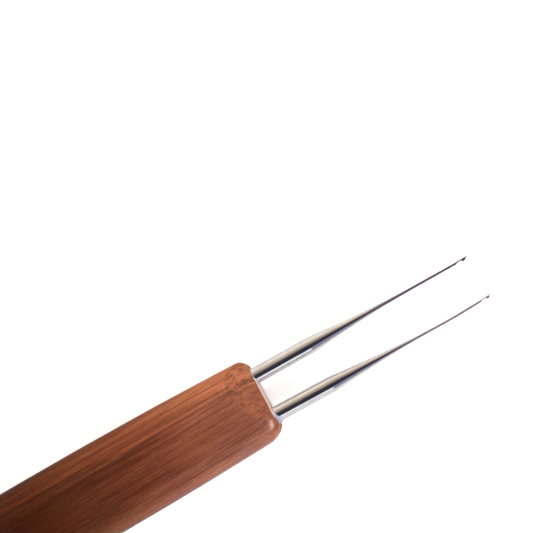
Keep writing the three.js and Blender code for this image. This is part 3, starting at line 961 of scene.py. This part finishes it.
def make_floor():
    """A plain white table that glows towards the camera, like a light table, so its shadows stay faint."""
    half = FLOOR_HALF
    corners = [(-half, -half, 0), (half, -half, 0), (half, half, 0), (-half, half, 0)]
    floor = mesh_object("floor", corners, [(0, 1, 2, 3)], HANDLE_SMOOTH)
    floor.location.z = -FLOOR_GAP
    material, nodes, shader = new_material("white_table")
    shader.inputs["Base Color"].default_value = (*FLOOR_COLOUR, 1)
    shader.inputs["Roughness"].default_value = 0.8
    shader.inputs["Specular IOR Level"].default_value = 0.1
    shader.inputs["Emission Color"].default_value = (1.0, 1.0, 1.0, 1)
    seen = nodes.add("ShaderNodeLightPath").outputs["Is Camera Ray"]
    nodes.link(nodes.math("MULTIPLY", seen, FLOOR_GLOW), shader.inputs["Emission Strength"])
    floor.data.materials.append(material)
    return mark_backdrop(floor)


def sky_bands(nodes, angle, bands, strength):
    """Light by angle from straight up, from bands of (degrees, colour)."""
    share = nodes.remap(angle, -math.pi, math.pi, smooth=False)
    stops = [((degrees + 180) / 360, colour) for degrees, colour in bands]
    return nodes.ramp(share, strengthened(stops, strength))


def lamp_glow(nodes, direction):
    aim = nodes.vector("DOT_PRODUCT", direction, tuple(Vector(LAMP_TOWARDS).normalized()))
    edge = math.cos(LAMP_HALF_ANGLE)
    glow = nodes.remap(aim, edge, lerp(edge, 1, LAMP_RIM), 0.0, LAMP_STRENGTH)
    return nodes.vector("MULTIPLY", nodes.join(glow, glow, glow), LAMP_COLOUR)


def studio_light(nodes):
    """The light that comes from each direction of the world."""
    direction = nodes.add("ShaderNodeTexCoord").outputs["Generated"]
    ahead, y, z = nodes.split(direction)
    angle = nodes.math("ARCTAN2", nodes.math("MULTIPLY", y, -1.0), z)
    light = sky_bands(nodes, angle, STUDIO_BANDS, STUDIO_STRENGTH)
    dusk = nodes.math("MULTIPLY", nodes.remap(ahead, *CARD_END), nodes.remap(angle, CARD_FROM, CARD_TO))
    dusk = nodes.math("MULTIPLY", dusk, nodes.remap(ahead, *DUSK_END, 1.0, 0.0))
    light = nodes.mix(dusk, light, (*DUSKY_WALL, 1))
    dome = sky_bands(nodes, angle, DOME_BANDS, 1.0)
    light = nodes.mix(nodes.remap(nodes.math("ABSOLUTE", ahead), DOME_FROM, DOME_TO), light, dome)
    return nodes.vector("ADD", light, lamp_glow(nodes, direction))


def make_studio():
    """Soft light from all round, as bands, a dome and a lamp on the world. The camera sees a pale wall."""
    world = bpy.data.worlds.new("studio")
    bpy.context.scene.world = world
    world.use_nodes = True
    nodes = Nodes(world.node_tree)
    lit = nodes.add("ShaderNodeBackground")
    nodes.link(studio_light(nodes), lit.inputs["Color"])
    wall = nodes.add("ShaderNodeBackground")
    wall.inputs["Color"].default_value = (*WALL_COLOUR, 1)
    seen = nodes.add("ShaderNodeMixShader")
    nodes.link(nodes.add("ShaderNodeLightPath").outputs["Is Camera Ray"], seen.inputs[0])
    nodes.link(lit.outputs[0], seen.inputs[1])
    nodes.link(wall.outputs[0], seen.inputs[2])
    nodes.link(seen.outputs[0], nodes.add("ShaderNodeOutputWorld").inputs["Surface"])


def make_camera():
    """Almost straight above, with a long lens."""
    lean = math.tan(CAMERA_LEAN)
    back = Vector((lean, -lean, 1)).normalized()
    along = Vector((1, 0, 0))
    along = (along - along.dot(back) * back).normalized()
    right = along * math.cos(CAMERA_ROLL) - back.cross(along) * math.sin(CAMERA_ROLL)
    up = back.cross(right)
    end = Vector((FRONT, 0, MIDDLE_HEIGHT))
    target = end - right * END_RIGHT - up * END_UP
    camera = bpy.data.objects.new("camera", bpy.data.cameras.new("camera"))
    bpy.context.scene.collection.objects.link(camera)
    turn = Matrix((right, up, back)).transposed().to_4x4()
    camera.matrix_world = Matrix.Translation(target + back * CAMERA_DISTANCE) @ turn
    camera.data.sensor_width = SENSOR_WIDTH
    camera.data.lens = SENSOR_WIDTH * CAMERA_DISTANCE / VIEW_WIDTH
    bpy.context.scene.camera = camera


# ---- The tool ------------------------------------------------------------------------------------


def finish_piece(piece, material, node):
    piece.data.materials.clear()
    piece.data.materials.append(material)
    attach(piece, "root")
    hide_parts(node)


def make_tool():
    needles = [read_needle(side) for side in ("left", "right")]
    polished, cured = steel(), epoxy()
    finish_piece(make_handle(needles), bamboo(), "handle")
    for needle in needles:
        side = needle["side"]
        finish_piece(make_needle(needle), polished, f"hook_{side}")
        finish_piece(make_glue(needle), cured, f"glue_{side}")


make_camera()
make_floor()
make_studio()
make_tool()
bpy.context.scene.view_settings.view_transform = "Standard"
